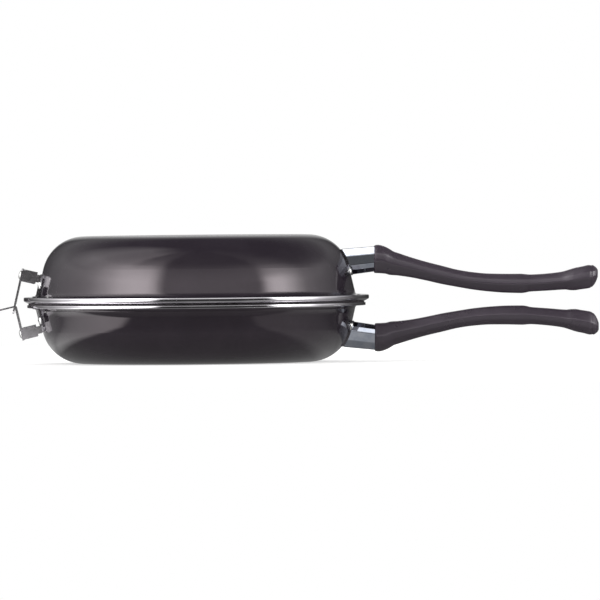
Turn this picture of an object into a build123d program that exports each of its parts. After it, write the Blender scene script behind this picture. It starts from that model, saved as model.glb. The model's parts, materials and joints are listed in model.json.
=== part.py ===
from build123d import *

import os
from dataclasses import dataclass
from math import asin, cos, degrees, radians, sin, tan

# A double tortilla pan. Two deep round pans close rim to rim, the upper one
# upside down on the lower one. A lift-off sheet-metal hinge joins them, and
# each pan has its own handle. Sizes are in millimetres.
#
# +X runs to the handles and -X to the hinge, +Z is up. The origin is the
# middle of the lower pan's flat base.

# Pans
rim_diameter = 240.0            # across the upper trim, the nominal size
sheet = 1.2                     # pressed steel
flange_width = 6.2              # from the wall's root to the flange's edge
wall_slant = 13.0               # degrees from upright
root_radius = 3.0               # outer bend between flange and wall
corner_radius = 29.0            # outer bend between wall and base
lower_depth = 39.45             # outer face of the flange to the flat base
upper_depth = 42.45
fit_gap = 0.05                  # between pieces that are pressed or riveted together

# Rim trims and seal
trim_sheet = 0.45
trim_lip = 3.4                  # reach of the lower trim's lips over the flange
lower_trim_setback = 2.4        # its edge, in from the upper trim's
upper_trim_height = 4.4
upper_trim_face = 2.3           # upright part of the upper trim's outer face
upper_trim_undercut = 3.2       # how far its foot is drawn in
seam_gap = 0.9                  # dark gap between the two trims
seal_width = 3.6
seal_recess = 0.9               # seal set back from the lower trim's face
seal_clearance = 0.1            # between the seal and the closed upper trim
lower_trim_round = 0.4
upper_trim_round = 1.5          # along its top edge
upper_trim_corner = 0.5         # where the upright face meets the drawn-in foot

# Hinge
hinge_standoff = 6.0            # hinge axis beyond the rim
leaf_sheet = 1.0
leaf_width = 28.0
leaf_length = 25.5              # hinge axis to the far end of the leaf
leaf_shoulder = 0.3             # the upper leaf is full width from here on
tongue_width = 14.0
tongue_length = 6.4             # past the hinge axis
tab_length = 11.5               # bent-out stop tab, from the leaf's middle
tab_drop = 0.8                  # hinge axis to the tab's upper face
slot_side_gap = 0.4             # beside the tongue
slot_reach = 1.9                # outward part of the slot, in the tab
window_margin = 1.0             # the slot's lower end clears the tongue's tip
bend_radius = 0.5               # inside of the tab's bend
leaf_corner = 1.5
bracket_height = 8.2
bracket_end = 0.4               # from the leaf's far end to the bracket
bracket_web = 1.5
bracket_cheek = 1.4
bracket_depth = 9.8             # web and cheeks, from the leaf's inner face
neck_height = 5.0
neck_length = 8.0               # longer than needed, trimmed on the foot
leaf_rivet_spacing = 14.0
leaf_rivet_radius = 1.7
leaf_rivet_head = 3.2
leaf_rivet_dome = 1.0
foot_sheet = 1.0
foot_width = 48.0
foot_reach = 16.4               # from the flange's face along the wall
toe_gap = 0.3                   # between the toe on the flange and the trim's lip
foot_round = 3.0
foot_rivet_bearing = 10.3       # degrees either side of the hinge's middle
foot_rivet_drop = 8.6           # from the flange's face

# Handles
handle_standoff = 12.8          # collar's face beyond the wall's root
lower_handle_level = 25.1       # seam to the middle of the collar
upper_handle_level = 29.3
grip_lean = 1.0                 # degrees, upper grip towards the seam and lower away
saddle_sheet = 1.2
saddle_wing = 29.0              # half width at the seam side
saddle_waist = 13.0
saddle_edge = 11.3              # seam side edge, from the collar's middle
saddle_tip = 9.5
saddle_notch = 3.5
saddle_end = 6.5
wing_rivet_across = 18.0
wing_rivet_fall = 8.4
top_rivet_rise = 2.6
wall_rivet_radius = 1.7
wall_rivet_head = 2.8
wall_rivet_dome = 1.1
head_edge = 0.4                 # upright edge under each rivet's dome
drill_length = 7.0              # rivet holes, both ways through the sheets
tang_width = 12.0
tang_sheet = 3.0
tang_fall = 3.0                 # tang's middle below the collar's middle
tang_length = 24.0              # past the collar's face
tang_root = 30.0                # towards the wall, trimmed on the saddle
pocket_gap = 0.3                # between the tang and its pocket in the grip
screw_along = 15.5
screw_radius = 2.4
screw_head_radius = 4.0
screw_head_height = 2.4
screw_tip = 1.6                 # shank above the tang
screw_seat = 3.2                # plastic between the tang and the head
screw_bore_gap = 0.35
drive_width = 1.1
drive_length = 5.0
drive_depth = 1.1
ferrule_sheet = 0.8
ferrule_height = 17.4
ferrule_width = 24.0
ferrule_tilt = 6.5              # degrees, away from the seam towards the collar
ferrule_flare = 1.09            # the wall end is this much larger
ferrule_run = 28.0              # collar's face to inside the wall, then trimmed
ferrule_round = 1.2

# Ferrule corners as shares of its half width and half height, on one side
ferrule_corners = [(0.55, 1.0), (0.94, 0.45), (1.0, -0.3), (0.86, -0.66), (0.5, -1.0)]

# Grip
collar_height = 19.6
collar_width = 26.0
collar_step = 8.0               # the collar is stout up to here
collar_length = 13.0            # and has run out into the neck here
hang_hole_along = 143.5
hang_hole_radius = 4.5

# One side of the grip's section as shares of its half width and half height: the
# outer face, a slanted side with a soft ridge and the face on the seam side
grip_corners = [(0.56, 1.0), (0.94, 0.42), (1.0, -0.12), (0.62, -1.0)]
grip_round = 0.3                # corner radius as a share of the half height

# Collar sections: distance out from its face, rise of the middle, height and width
collar_sections = [
    (0.0, 0.0, collar_height, collar_width),
    (2.4, 0.0, collar_height + 0.2, collar_width + 0.4),
    (collar_step, -0.8, collar_height - 1.0, collar_width - 1.6),
    (collar_length, -2.6, collar_height - 3.4, collar_width - 5.0),
]

# Grip sections, in the same order. The grip drops towards the seam and lifts
# again at its end.
grip_sections = [
    (3.0, -1.2, 17.2, 22.5),
    (12.4, -2.6, 16.9, 21.5),
    (23.3, -5.05, 14.3, 20.0),
    (40.0, -9.0, 13.0, 18.5),
    (60.0, -13.3, 12.0, 18.0),
    (80.0, -15.7, 12.4, 19.0),
    (101.0, -16.2, 13.3, 20.0),
    (111.0, -15.8, 11.7, 20.0),
    (126.0, -14.6, 12.1, 21.5),
    (137.0, -13.2, 14.7, 24.0),
    (145.0, -11.9, 15.8, 25.0),
    (151.4, -10.7, 15.3, 23.0),
    (153.6, -9.8, 11.8, 19.0),
    (155.4, -8.7, 5.6, 12.0),
]

# Worked out from the sizes above
upper_trim_radius = rim_diameter / 2
lower_trim_radius = upper_trim_radius - lower_trim_setback
flange_radius = lower_trim_radius - trim_sheet - fit_gap
mouth_radius = flange_radius - flange_width
foot_toe = lower_trim_radius - trim_lip - toe_gap
hinge_reach = upper_trim_radius + hinge_standoff
handle_start = mouth_radius + handle_standoff
lower_flange_face = seam_gap / 2 + trim_sheet + sheet
upper_flange_face = seam_gap / 2 + upper_trim_height - trim_sheet
seam_level = lower_flange_face + lower_depth
plate_gap = fit_gap + saddle_sheet
foot_gap = fit_gap + foot_sheet


@dataclass
class Half:
    name: str
    side: int                   # +1 above the seam, -1 below it
    depth: float
    flange_face: float          # seam to the flange's outer face
    handle_level: float
    lean: float


lower = Half("lower", -1, lower_depth, lower_flange_face, lower_handle_level, grip_lean)
upper = Half("upper", 1, upper_depth, upper_flange_face, upper_handle_level, -grip_lean)


def level(half, from_seam):
    return seam_level + half.side * from_seam


# Corners of the pan's outer surface, moved outwards by proud: the flange from
# its edge, the root of the wall, the corner of the base and the middle.
def outline(half, proud, edge):
    flange = half.flange_face + proud
    base = half.flange_face + half.depth + proud
    shift = proud / cos(radians(wall_slant))
    slope = tan(radians(wall_slant))
    root = mouth_radius + shift - slope * proud
    corner = mouth_radius + shift - slope * (half.depth + proud)
    corners = [(edge, flange), (root, flange), (corner, base), (0, base)]
    return [(radius, level(half, from_seam)) for radius, from_seam in corners]


# A layer that follows the pan's surface, from one offset to another.
def layer(half, inner, outer, edge):
    with BuildSketch(Plane.XZ) as section:
        with BuildLine():
            near = FilletPolyline(
                outline(half, inner, edge), radius=(root_radius - inner, corner_radius + inner)
            )
            far = FilletPolyline(
                outline(half, outer, edge), radius=(root_radius - outer, corner_radius + outer)
            )
            Line(near @ 0, far @ 0)
            Line(near @ 1, far @ 1)
        make_face()
    return section.sketch


# Everything inside the pan's surface, for trimming what sits on the wall.
def pan_form(half, proud):
    with BuildSketch(Plane.XZ) as section:
        with BuildLine():
            skin = FilletPolyline(
                outline(half, proud, flange_radius),
                radius=(root_radius - proud, corner_radius + proud),
            )
            seam = level(half, 0)
            Polyline(skin @ 0, (flange_radius, seam), (0, seam), skin @ 1)
        make_face()
    return section.sketch


# A plane lying on the pan's outer wall and facing outwards. Its drop is
# measured from the flange's face, its bearing in degrees from the handles.
def wall_seat(half, drop, bearing):
    arc_start = half.depth - corner_radius * (1 - sin(radians(wall_slant)))
    straight = min(drop, arc_start)
    radius = mouth_radius - tan(radians(wall_slant)) * straight
    facing = wall_slant
    if drop > arc_start:
        facing = degrees(asin(1 - (half.depth - drop) / corner_radius))
        radius -= corner_radius * (cos(radians(wall_slant)) - cos(radians(facing)))
    turn = radians(bearing)
    lift = radians(facing)
    return Plane(
        origin=(radius * cos(turn), radius * sin(turn), level(half, half.flange_face + drop)),
        x_dir=(-sin(turn), cos(turn), 0),
        z_dir=(cos(lift) * cos(turn), cos(lift) * sin(turn), half.side * sin(lift)),
    )


# A round bar with a domed end each way, standing on the seat's plane.
def barrel(radius, dome, outer, inner):
    with BuildPart() as body:
        with BuildSketch(Plane.XZ):
            with BuildLine():
                TangentArc((0, outer + dome), (radius, outer), tangent=(1, 0))
                Line((radius, outer), (radius, inner))
                TangentArc((0, inner - dome), (radius, inner), tangent=(1, 0))
                Line((0, inner - dome), (0, outer + dome))
            make_face()
        revolve(axis=Axis.Z)
    return body.part


def write(piece, name):
    piece.part.label = name
    export_step(piece.part, f"parts/{name}.step")


# The hinge's frame on one half: X points to the pan, Z along the leaf away
# from the hinge axis, and the origin is on the axis.
def hinge_frame(half):
    slant = radians(wall_slant)
    return Plane(
        origin=(-hinge_reach, 0, seam_level),
        x_dir=(cos(slant), 0, -half.side * sin(slant)),
        z_dir=(sin(slant), 0, half.side * cos(slant)),
    )


# The handle's frame: X runs out along the handle, Z away from the seam, and
# the origin is the middle of the collar's face.
def handle_frame(half):
    lean = radians(half.lean)
    return Plane(
        origin=(handle_start, 0, level(half, half.handle_level)),
        x_dir=(cos(lean), 0, half.side * sin(lean)),
        z_dir=(-sin(lean), 0, half.side * cos(lean)),
    )


def side_view(frame):
    return Plane(frame * Plane.XZ)


def cross_plane(frame, along):
    return Plane(frame * Plane.YZ.offset(along))


def handle_rivet_seats(half):
    wing_drop = half.handle_level - wing_rivet_fall - half.flange_face
    top_drop = half.handle_level + top_rivet_rise - half.flange_face
    bearing = degrees(asin(wing_rivet_across / mouth_radius))
    return [
        wall_seat(half, wing_drop, bearing),
        wall_seat(half, wing_drop, -bearing),
        wall_seat(half, top_drop, 0),
    ]


def foot_rivet_seats(half):
    return [
        wall_seat(half, foot_rivet_drop, 180 + foot_rivet_bearing),
        wall_seat(half, foot_rivet_drop, 180 - foot_rivet_bearing),
    ]


# Pressed bowl with rivet holes for the handle bracket and the hinge foot.
def make_pan_shell(half):
    with BuildPart() as shell:
        revolve(layer(half, -sheet, 0, flange_radius), axis=Axis.Z)
        with Locations(*handle_rivet_seats(half), *foot_rivet_seats(half)):
            Cylinder(wall_rivet_radius + fit_gap, drill_length, mode=Mode.SUBTRACT)
    write(shell, f"{half.name}_pan_shell")


# Thin channel folded over the lower flange's edge.
def make_lower_trim():
    face = lower_flange_face
    inside = lower_trim_radius - trim_lip
    with BuildPart() as trim:
        with BuildSketch(Plane.XZ):
            with BuildLine():
                Polyline(
                    (inside, level(lower, face + trim_sheet)),
                    (lower_trim_radius, level(lower, face + trim_sheet)),
                    (lower_trim_radius, level(lower, seam_gap / 2)),
                    (inside, level(lower, seam_gap / 2)),
                    (inside, level(lower, face - sheet)),
                    (flange_radius, level(lower, face - sheet)),
                    (flange_radius, level(lower, face)),
                    (inside, level(lower, face)),
                    close=True,
                )
            make_face()
        revolve(axis=Axis.Z)
        rim_edges = trim.edges().filter_by(GeomType.CIRCLE).sort_by(SortBy.RADIUS)[-3:]
        fillet([edge for edge in rim_edges if edge.radius > flange_radius], lower_trim_round)
    write(trim, "lower_rim_trim")


# Heavy rolled ring over the upper flange's edge, drawn in towards the seam.
def make_upper_trim():
    face = upper_flange_face
    top = seam_gap / 2 + upper_trim_height
    inside = lower_trim_radius - trim_lip
    foot = upper_trim_radius - upper_trim_undercut
    with BuildPart() as trim:
        with BuildSketch(Plane.XZ):
            with BuildLine():
                Polyline(
                    (inside, level(upper, top)),
                    (upper_trim_radius, level(upper, top)),
                    (upper_trim_radius, level(upper, top - upper_trim_face)),
                    (foot, level(upper, seam_gap / 2)),
                    (inside, level(upper, seam_gap / 2)),
                    (inside, level(upper, face - sheet)),
                    (flange_radius, level(upper, face - sheet)),
                    (flange_radius, level(upper, face)),
                    (inside, level(upper, face)),
                    close=True,
                )
            make_face()
        revolve(axis=Axis.Z)
        widest = trim.edges().filter_by(GeomType.CIRCLE).sort_by(SortBy.RADIUS)[-2:]
        fillet(widest.sort_by(Axis.Z)[-1], upper_trim_round)
        fillet(trim.edges().filter_by(GeomType.CIRCLE).sort_by(SortBy.RADIUS)[-1], upper_trim_corner)
    write(trim, "upper_rim_trim")


# Soft ring that lies on the lower trim, just inside its edge.
def make_seal():
    outside = lower_trim_radius - seal_recess
    with BuildPart() as seal:
        with BuildSketch(Plane.XY.offset(level(lower, seam_gap / 2))):
            Circle(outside)
            Circle(outside - seal_width, mode=Mode.SUBTRACT)
        extrude(amount=seam_gap - seal_clearance)
    write(seal, "rim_seal")


# Saddle plate with two wings on the wall, and a tang that runs into the grip.
def make_handle_bracket(half):
    frame = handle_frame(half)
    with BuildPart() as bracket:
        revolve(layer(half, fit_gap, plate_gap, foot_toe), axis=Axis.Z)
        with BuildSketch(cross_plane(frame, 0)):
            with BuildLine():
                Polyline(
                    (saddle_wing, -saddle_edge),
                    (saddle_wing, -saddle_tip),
                    (saddle_waist, -saddle_notch),
                    (saddle_waist, saddle_end),
                    (-saddle_waist, saddle_end),
                    (-saddle_waist, -saddle_notch),
                    (-saddle_wing, -saddle_tip),
                    (-saddle_wing, -saddle_edge),
                    close=True,
                )
            make_face()
        extrude(amount=-handle_start, mode=Mode.INTERSECT)
        with BuildSketch(side_view(frame)):
            with Locations(((tang_length - tang_root) / 2, -tang_fall)):
                Rectangle(tang_length + tang_root, tang_sheet)
        extrude(amount=tang_width / 2, both=True)
        revolve(pan_form(half, fit_gap), axis=Axis.Z, mode=Mode.SUBTRACT)
        with Locations(*handle_rivet_seats(half)):
            Cylinder(wall_rivet_radius + fit_gap, drill_length, mode=Mode.SUBTRACT)
        with BuildSketch(Plane(frame * Plane.XY)):
            with Locations((screw_along, 0)):
                Circle(screw_radius + fit_gap)
        extrude(amount=-tang_width, mode=Mode.SUBTRACT)
    write(bracket, f"{half.name}_handle_bracket")


# Rivets through the pan's wall and a plate that lies on it. The heads follow
# the wall and the plate, because their barrels are cut by both.
def make_wall_rivets(half, name, seats, plate):
    head = barrel(wall_rivet_head, wall_rivet_dome, plate + head_edge, -sheet - head_edge)
    with BuildPart() as rivets:
        with Locations(*seats):
            add(head)
        revolve(layer(half, -sheet, plate, foot_toe), axis=Axis.Z, mode=Mode.SUBTRACT)
        with Locations(*seats):
            Cylinder(wall_rivet_radius, 2 * sheet + plate)
    write(rivets, name)


# The ferrule's faceted section, seen along the handle, drawn in by wall.
def ferrule_section(frame, along, scale, wall):
    half_width = ferrule_width / 2 * scale - wall
    half_height = ferrule_height / 2 * scale - wall
    corners = [(half_width * across, half_height * up) for across, up in ferrule_corners]
    mirrored = [(-across, up) for across, up in reversed(corners)]
    rise = along * tan(radians(ferrule_tilt))
    with BuildSketch(cross_plane(frame, along)) as section:
        with Locations((0, rise)):
            Polygon(*corners, *mirrored, align=None)
        fillet(section.vertices(), ferrule_round)
    return section.sketch


# Sleeve between the wall and the collar, cut to the wall's shape.
def make_ferrule(half):
    frame = handle_frame(half)
    with BuildPart() as ferrule:
        wall_end = ferrule_section(frame, -ferrule_run, ferrule_flare, 0)
        collar_end = ferrule_section(frame, 0, 1, 0)
        loft([wall_end, collar_end])
        wall_bore = ferrule_section(frame, -ferrule_run, ferrule_flare, ferrule_sheet)
        collar_bore = ferrule_section(frame, 0, 1, ferrule_sheet)
        loft([wall_bore, collar_bore], mode=Mode.SUBTRACT)
        revolve(pan_form(half, plate_gap + fit_gap), axis=Axis.Z, mode=Mode.SUBTRACT)
    write(ferrule, f"{half.name}_ferrule")


def grip_section(frame, along, rise, height, width):
    corners = [(width / 2 * across, height / 2 * up) for across, up in grip_corners]
    mirrored = [(-across, up) for across, up in reversed(corners)]
    with BuildSketch(cross_plane(frame, along)) as section:
        with Locations((0, rise)):
            Polygon(*corners, *mirrored, align=None)
        fillet(section.vertices(), grip_round * height / 2)
    return section.sketch


# Moulded handle: a stout collar, a neck that drops towards the other handle
# and an end lobe with the hanging hole.
def make_grip(half):
    frame = handle_frame(half)
    bore_floor = -tang_fall + tang_sheet / 2 + screw_tip + pocket_gap
    head_seat = -tang_fall - tang_sheet / 2 - screw_seat
    with BuildPart() as grip:
        loft([grip_section(frame, *sizes) for sizes in grip_sections])
        loft([grip_section(frame, *sizes) for sizes in collar_sections])
        with BuildSketch(side_view(frame)):
            with Locations((tang_length / 2, -tang_fall)):
                Rectangle(tang_length + 2 * pocket_gap, tang_sheet + 2 * pocket_gap)
        extrude(amount=tang_width / 2 + pocket_gap, both=True, mode=Mode.SUBTRACT)
        with BuildSketch(Plane(frame * Plane.XY.offset(bore_floor))):
            with Locations((screw_along, 0)):
                Circle(screw_radius + screw_bore_gap)
        extrude(amount=-collar_height, mode=Mode.SUBTRACT)
        with BuildSketch(Plane(frame * Plane.XY.offset(head_seat))):
            with Locations((screw_along, 0)):
                Circle(screw_head_radius + screw_bore_gap)
        extrude(amount=-collar_height, mode=Mode.SUBTRACT)
        with BuildSketch(Plane(frame * Plane.XY)):
            with Locations((hang_hole_along, 0)):
                Circle(hang_hole_radius)
        extrude(amount=2 * collar_height, both=True, mode=Mode.SUBTRACT)
    write(grip, f"{half.name}_handle_grip")


# Screw from the side that faces the other handle, through the tang.
def make_handle_screw(half):
    frame = handle_frame(half)
    head_seat = -tang_fall - tang_sheet / 2 - screw_seat
    tip = -tang_fall + tang_sheet / 2 + screw_tip
    with BuildPart() as screw:
        with BuildSketch(Plane(frame * Plane.XY.offset(head_seat))):
            with Locations((screw_along, 0)):
                Circle(screw_radius)
        extrude(amount=tip - head_seat)
        with BuildSketch(Plane(frame * Plane.XY.offset(head_seat))):
            with Locations((screw_along, 0)):
                Circle(screw_head_radius)
        extrude(amount=-screw_head_height)
        with BuildSketch(Plane(frame * Plane.XY.offset(head_seat - screw_head_height))):
            with Locations((screw_along, 0)):
                Rectangle(drive_length, drive_width)
                Rectangle(drive_width, drive_length)
        extrude(amount=drive_depth, mode=Mode.SUBTRACT)
    write(screw, f"{half.name}_handle_screw")


# Plate on the wall with a toe that turns out over the flange.
def make_hinge_foot(half):
    with BuildPart() as foot:
        revolve(layer(half, fit_gap, foot_gap, foot_toe), axis=Axis.Z)
        middle = level(half, half.flange_face + foot_reach / 2)
        with BuildSketch(Plane.YZ.offset(-foot_toe)):
            with Locations((0, middle)):
                Rectangle(foot_width, foot_reach)
            far_side = Axis.Y if half.side > 0 else -Axis.Y
            fillet(vertices().sort_by(far_side)[-2:], foot_round)
        extrude(amount=foot_toe, mode=Mode.INTERSECT)
        with Locations(*foot_rivet_seats(half)):
            Cylinder(wall_rivet_radius + fit_gap, drill_length, mode=Mode.SUBTRACT)
    write(foot, f"{half.name}_hinge_foot")


# Channel whose web carries the leaf. Its two cheeks reach back to the foot
# through narrower necks.
def make_hinge_bracket(half):
    frame = hinge_frame(half)
    far = leaf_length - bracket_end
    near = far - bracket_height
    middle = (far + near) / 2
    start = leaf_sheet / 2
    end = start + bracket_depth
    with BuildPart() as bracket:
        with BuildSketch(side_view(frame)):
            with Locations((start + bracket_depth / 2, middle)):
                Rectangle(bracket_depth, bracket_height)
            with Locations((end + neck_length / 2, middle)):
                Rectangle(neck_length, neck_height)
        extrude(amount=leaf_width / 2, both=True)
        with BuildSketch(side_view(frame)):
            with Locations((start + bracket_web, middle)):
                Rectangle(2 * leaf_width, leaf_width, align=(Align.MIN, Align.CENTER))
        extrude(amount=leaf_width / 2 - bracket_cheek, both=True, mode=Mode.SUBTRACT)
        revolve(pan_form(half, foot_gap + fit_gap), axis=Axis.Z, mode=Mode.SUBTRACT)
        with Locations(*leaf_rivet_seats(half)):
            Cylinder(leaf_rivet_radius + fit_gap, drill_length, mode=Mode.SUBTRACT)
    write(bracket, f"{half.name}_hinge_bracket")


# Seats of the leaf's rivets, on the leaf's middle plane and facing the pan.
def leaf_rivet_seats(half):
    frame = hinge_frame(half)
    up = leaf_length - bracket_end - bracket_height / 2
    across = leaf_rivet_spacing / 2
    face = Plane(frame * Plane.YZ)
    return [Plane(face * Location((side * across, up, 0))) for side in (-1, 1)]


# Rivets through a leaf and its bracket's web, domed on both sides.
def make_leaf_rivets(half):
    start = leaf_sheet / 2
    one = barrel(
        leaf_rivet_head, leaf_rivet_dome, start + bracket_web + head_edge, -start - head_edge
    )
    with BuildPart() as rivets:
        with Locations(*leaf_rivet_seats(half)):
            add(one)
            with Locations((0, 0, bracket_web / 2)):
                Cylinder(leaf_rivet_head + fit_gap, bracket_web + leaf_sheet, mode=Mode.SUBTRACT)
                Cylinder(leaf_rivet_radius, bracket_web + 2 * leaf_sheet)
    write(rivets, f"{half.name}_hinge_leaf_rivets")


# Flat plate that narrows to a tongue past the hinge axis.
def make_upper_leaf():
    frame = hinge_frame(upper)
    with BuildPart() as leaf:
        with BuildSketch(Plane(frame * Plane.YZ)):
            with Locations((0, leaf_shoulder)):
                Rectangle(
                    leaf_width, leaf_length - leaf_shoulder, align=(Align.CENTER, Align.MIN)
                )
            with Locations((0, -tongue_length)):
                Rectangle(
                    tongue_width, tongue_length + leaf_shoulder, align=(Align.CENTER, Align.MIN)
                )
            fillet(vertices().group_by(Axis.Y)[0], leaf_corner)
            fillet(vertices().group_by(Axis.Y)[-1], leaf_corner)
        extrude(amount=leaf_sheet / 2, both=True)
        with Locations(*leaf_rivet_seats(upper)):
            Cylinder(leaf_rivet_radius + fit_gap, drill_length, mode=Mode.SUBTRACT)
    write(leaf, "upper_hinge_leaf")


# Plate whose end is bent out into a stop tab. The slot starts in the tab and
# runs down the plate, so that the tongue can swing through it.
def make_lower_leaf():
    frame = hinge_frame(lower)
    outside = -leaf_sheet / 2
    inside = leaf_sheet / 2
    with BuildPart() as leaf:
        with BuildSketch(side_view(frame)):
            with BuildLine():
                FilletPolyline(
                    (-tab_length, tab_drop),
                    (inside, tab_drop),
                    (inside, leaf_length),
                    radius=(bend_radius + leaf_sheet,),
                )
                FilletPolyline(
                    (-tab_length, tab_drop + leaf_sheet),
                    (outside, tab_drop + leaf_sheet),
                    (outside, leaf_length),
                    radius=(bend_radius,),
                )
                Line((-tab_length, tab_drop), (-tab_length, tab_drop + leaf_sheet))
                Line((inside, leaf_length), (outside, leaf_length))
            make_face()
        extrude(amount=leaf_width / 2, both=True)
        with BuildSketch(Plane(frame * Plane.YZ.offset(-slot_reach))):
            Rectangle(
                tongue_width + 2 * slot_side_gap,
                tongue_length + window_margin,
                align=(Align.CENTER, Align.MIN),
            )
        extrude(amount=slot_reach + leaf_sheet, mode=Mode.SUBTRACT)
        with Locations(*leaf_rivet_seats(lower)):
            Cylinder(leaf_rivet_radius + fit_gap, drill_length, mode=Mode.SUBTRACT)
    write(leaf, "lower_hinge_leaf")


os.makedirs("parts", exist_ok=True)
make_lower_trim()
make_upper_trim()
make_seal()
make_upper_leaf()
make_lower_leaf()
for half in (lower, upper):
    make_pan_shell(half)
    make_handle_bracket(half)
    make_wall_rivets(half, f"{half.name}_handle_rivets", handle_rivet_seats(half), plate_gap)
    make_ferrule(half)
    make_grip(half)
    make_handle_screw(half)
    make_hinge_foot(half)
    make_wall_rivets(half, f"{half.name}_hinge_foot_rivets", foot_rivet_seats(half), foot_gap)
    make_hinge_bracket(half)
    make_leaf_rivets(half)
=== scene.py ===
import json
import math
from functools import partial

import bmesh
import bpy
import numpy as np
from mathutils import Matrix, Vector

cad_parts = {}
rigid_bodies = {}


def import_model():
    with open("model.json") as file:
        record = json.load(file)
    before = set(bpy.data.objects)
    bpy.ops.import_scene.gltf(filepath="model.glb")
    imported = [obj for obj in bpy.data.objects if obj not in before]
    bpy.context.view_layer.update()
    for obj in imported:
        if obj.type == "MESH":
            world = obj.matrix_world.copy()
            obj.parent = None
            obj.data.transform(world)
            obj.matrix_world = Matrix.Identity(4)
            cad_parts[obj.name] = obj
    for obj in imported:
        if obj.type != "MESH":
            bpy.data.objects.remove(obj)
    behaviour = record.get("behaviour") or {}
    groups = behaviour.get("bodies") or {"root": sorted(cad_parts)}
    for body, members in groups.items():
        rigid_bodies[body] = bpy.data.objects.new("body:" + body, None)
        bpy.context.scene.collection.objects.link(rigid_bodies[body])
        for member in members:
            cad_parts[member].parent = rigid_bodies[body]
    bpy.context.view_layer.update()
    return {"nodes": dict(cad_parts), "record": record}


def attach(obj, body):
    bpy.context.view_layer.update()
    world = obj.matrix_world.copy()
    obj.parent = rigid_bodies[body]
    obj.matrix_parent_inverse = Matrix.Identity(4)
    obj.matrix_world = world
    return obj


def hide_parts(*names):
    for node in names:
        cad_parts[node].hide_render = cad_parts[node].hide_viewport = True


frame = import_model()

mm = 0.001
cutLimit = 0.45  # the most of a side that one rounded corner may take
nodes = frame["nodes"]
halves = {"lower": "lower_half", "upper": "upper_half"}
print("frame loaded:", len(nodes), "pieces")


# Small helpers

def hexColour(text):
    # sRGB hex to the linear values that Blender's sockets take
    parts = [int(text[i:i + 2], 16) / 255 for i in (1, 3, 5)]
    linear = [c / 12.92 if c <= 0.04045 else ((c + 0.055) / 1.055) ** 2.4 for c in parts]
    return (*linear, 1)


def addNode(tree, kind, inputs=None, **settings):
    # one node with its settings; an input is a value or the socket that feeds it
    node = tree.nodes.new(kind)
    for key, value in settings.items():
        setattr(node, key, value)
    for key, value in (inputs or {}).items():
        if isinstance(value, bpy.types.NodeSocket):
            tree.links.new(value, node.inputs[key])
        else:
            node.inputs[key].default_value = value
    return node.outputs


def startMaterial(name):
    material = bpy.data.materials.new(name)
    material.use_nodes = True
    material.node_tree.nodes.clear()
    return material, partial(addNode, material.node_tree)


def aroundAxis(add, place):
    # distance from the pan's axis, angle round it and height
    parts = add("ShaderNodeSeparateXYZ", {"Vector": place})
    flat = add("ShaderNodeCombineXYZ", {"X": parts["X"], "Y": parts["Y"]})["Vector"]
    radius = add("ShaderNodeVectorMath", {0: flat}, operation="LENGTH")["Value"]
    angle = add("ShaderNodeMath", {0: parts["Y"], 1: parts["X"]}, operation="ARCTAN2")[0]
    return radius, angle, parts["Z"]


def placed(name, data):
    thing = bpy.data.objects.new(name, data)
    bpy.context.scene.collection.objects.link(thing)
    return thing


def newPiece(name, mesh, finish, half, replaced):
    # a finished mesh that stands for a CAD node and moves with its half
    piece = placed(name, mesh)
    mesh.materials.clear()
    mesh.materials.append(finish)
    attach(piece, halves[half])
    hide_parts(replaced)
    return piece


def roundedOutline(corners, steps):
    # an outline with its corners rounded; each corner has the length that is cut back
    points = []
    for index, (across, up, back) in enumerate(corners):
        here = Vector((across, up))
        before = Vector(corners[index - 1][:2]) - here
        after = Vector(corners[(index + 1) % len(corners)][:2]) - here
        cut = min(back, cutLimit * before.length, cutLimit * after.length)
        start, end = here + before.normalized() * cut, here + after.normalized() * cut
        for step in range(steps):
            t = step / (steps - 1)
            points.append((1 - t) ** 2 * start + 2 * t * (1 - t) * here + t * t * end)
    return points


def skinned(name, loops, ring=False):
    # a closed mesh through loops of points, capped at both ends or joined into a ring
    shape = bmesh.new()
    rows = [[shape.verts.new(point) for point in loop] for loop in loops]
    following = rows[1:] + rows[:1] if ring else rows[1:]
    for first, second in zip(rows, following):
        for index in range(len(first)):
            shape.faces.new((first[index - 1], first[index], second[index], second[index - 1]))
    if not ring:
        shape.faces.new(rows[0])
        shape.faces.new(rows[-1])
    bmesh.ops.recalc_face_normals(shape, faces=shape.faces)
    mesh = bpy.data.meshes.new(name)
    shape.to_mesh(mesh)
    shape.free()
    return mesh


def smoothed(mesh, angle):
    mesh.shade_smooth()
    mesh.set_sharp_from_angle(angle=math.radians(angle))


def applied(piece):
    # the piece's mesh with its modifiers worked out, and the modifiers gone
    seen = piece.evaluated_get(bpy.context.evaluated_depsgraph_get())
    mesh = bpy.data.meshes.new_from_object(seen)
    piece.modifiers.clear()
    return mesh


# Finishes

# fluoropolymer non-stick coat, sprayed black on pressed steel and baked: deep gloss with
# a violet cast, a soft orange peel, faint wiping marks and turned rings on the flat bases
coating = {
    "colour": "#322c34", "hazy": "#373139", "ior": 1.42, "roughness": 0.085, "wiped": 0.15,
    "peelSize": 3.2 * mm, "peelHeight": 0.004 * mm, "hazeSize": 26 * mm,
    "hazeFrom": 0.42, "hazeTo": 0.72,
    "wipeSize": 1.1 * mm, "wipeStretch": 0.04, "wallRadius": 120 * mm, "wipeFrom": 0.5, "wipeTo": 0.8,
    "ringPitch": 1.4 * mm, "ringHeight": 0.03 * mm, "flatFrom": 0.97, "flatTo": 0.999,
    "sheen": "#fff3f7", "seam": 41.55 * mm,
    # the pressed wall is slightly crowned, and flares out a little at its root
    "bellyFrom": 15 * mm, "bellyTo": 42 * mm, "bellyHeight": 2.5 * mm,
    "flareFrom": 8.6 * mm, "flareTo": 4.6 * mm, "flareHeight": 1.4 * mm,
}


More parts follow.
